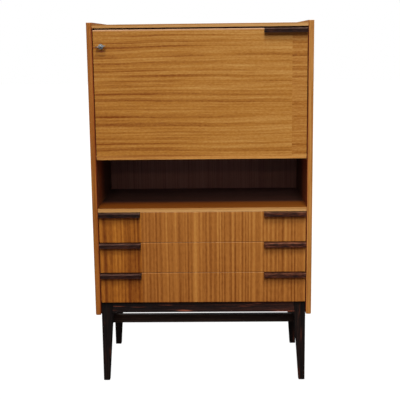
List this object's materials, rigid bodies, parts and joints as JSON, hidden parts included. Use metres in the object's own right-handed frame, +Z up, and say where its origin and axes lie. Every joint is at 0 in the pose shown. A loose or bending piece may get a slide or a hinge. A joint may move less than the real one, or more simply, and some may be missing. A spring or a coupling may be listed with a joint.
{
  "type": "escritoire",
  "caption": "Tall veneered escritoire with a locking fall-front writing flap on slotted stays, an open niche and full-width drawers, on a dark stand with tapered legs.",
  "frame": {"origin": "on the floor, at the centre of the closed piece's outline seen from above, key included", "axes": "+Z up, the front with the flap and drawers faces -Y, +X to the right of someone facing the front"},
  "size_m": [0.72, 0.416, 1.198],
  "materials": {
    "case_veneer": "satin lacquered veneer, vertical grain",
    "interior_veneer": "satin lacquered veneer",
    "flap_veneer": "satin lacquered veneer, horizontal grain",
    "drawer_veneer": "satin lacquered veneer, vertical ribbon grain",
    "wenge": "dark stained open grain, satin",
    "handle_wenge": "dark open grain, oiled",
    "drawer_beech": "plain sanded beech",
    "drawer_ply": "thin plywood",
    "nickel": "aged nickel plate",
    "steel": "bright zinc plated",
    "brass": "dulled"
  },
  "bodies": {
    "cabinet": {"back_panel": "interior_veneer", "bottom_panel": "case_veneer", "cross_stretcher": "wenge", "desk_floor": "interior_veneer", "flap_pivot_pins": "brass", "front_left_leg": "wenge", "front_rail": "wenge", "front_right_leg": "wenge", "left_drawer_runners": "drawer_beech", "left_pigeonhole_divider": "interior_veneer", "left_side_panel": "case_veneer", "left_side_rail": "wenge", "leg_bolts": "steel", "niche_shelf": "case_veneer", "pigeonhole_shelf": "interior_veneer", "rear_left_leg": "wenge", "rear_right_leg": "wenge", "right_drawer_runners": "drawer_beech", "right_pigeonhole_divider": "interior_veneer", "right_side_panel": "case_veneer", "right_side_rail": "wenge", "stay_pins": "nickel", "strike_plate": "brass", "top_panel": "case_veneer"},
    "flap": {"flap_panel": "flap_veneer", "flap_handle": "handle_wenge", "flap_pivot_bushes": "brass", "left_stay_bracket": "nickel", "right_stay_bracket": "nickel", "lock_case": "steel", "lock_escutcheon": "nickel"},
    "left_stay": {"left_stay_arm": "nickel"},
    "right_stay": {"right_stay_arm": "nickel"},
    "key": {"key": "nickel"},
    "lock_bolt": {"lock_bolt": "steel"},
    "drawer_1": {"drawer_1_front": "drawer_veneer", "drawer_1_left_side": "drawer_beech", "drawer_1_right_side": "drawer_beech", "drawer_1_back": "drawer_beech", "drawer_1_bottom": "drawer_ply", "drawer_1_left_handle": "handle_wenge", "drawer_1_right_handle": "handle_wenge"},
    "drawer_2": {"drawer_2_front": "drawer_veneer", "drawer_2_left_side": "drawer_beech", "drawer_2_right_side": "drawer_beech", "drawer_2_back": "drawer_beech", "drawer_2_bottom": "drawer_ply", "drawer_2_left_handle": "handle_wenge", "drawer_2_right_handle": "handle_wenge"},
    "drawer_3": {"drawer_3_front": "drawer_veneer", "drawer_3_left_side": "drawer_beech", "drawer_3_right_side": "drawer_beech", "drawer_3_back": "drawer_beech", "drawer_3_bottom": "drawer_ply", "drawer_3_left_handle": "handle_wenge", "drawer_3_right_handle": "handle_wenge"}
  },
  "joints": [
    {"name": "flap_fold", "type": "hinge", "parent": "cabinet", "child": "flap", "pos_m": [0, -0.178, 0.7685], "axis": [1, 0, 0], "range_deg": [0, 90]},
    {"name": "left_stay_swing", "type": "hinge", "parent": "flap", "child": "left_stay", "pos_m": [-0.3316, -0.15716, 0.88668], "axis": [1, 0, 0], "range_deg": [-45, 0]},
    {"name": "right_stay_swing", "type": "hinge", "parent": "flap", "child": "right_stay", "pos_m": [0.3316, -0.15716, 0.88668], "axis": [1, 0, 0], "range_deg": [-45, 0]},
    {"name": "key_turn", "type": "hinge", "parent": "flap", "child": "key", "pos_m": [-0.315, -0.187, 1.123], "axis": [0, 1, 0], "range_deg": [0, 90]},
    {"name": "bolt_throw", "type": "slide", "parent": "flap", "child": "lock_bolt", "axis": [-1, 0, 0], "range_m": [0, 0.008]},
    {"name": "drawer_1_slide", "type": "slide", "parent": "cabinet", "child": "drawer_1", "axis": [0, -1, 0], "range_m": [0, 0.26]},
    {"name": "drawer_2_slide", "type": "slide", "parent": "cabinet", "child": "drawer_2", "axis": [0, -1, 0], "range_m": [0, 0.26]},
    {"name": "drawer_3_slide", "type": "slide", "parent": "cabinet", "child": "drawer_3", "axis": [0, -1, 0], "range_m": [0, 0.26]}
  ],
  "couplings": [
    {"joint": "left_stay_swing", "follows": "flap_fold", "ratio": -0.5},
    {"joint": "right_stay_swing", "follows": "flap_fold", "ratio": -0.5},
    {"joint": "bolt_throw", "follows": "key_turn", "m_per_rad": 0.005093}
  ]
}
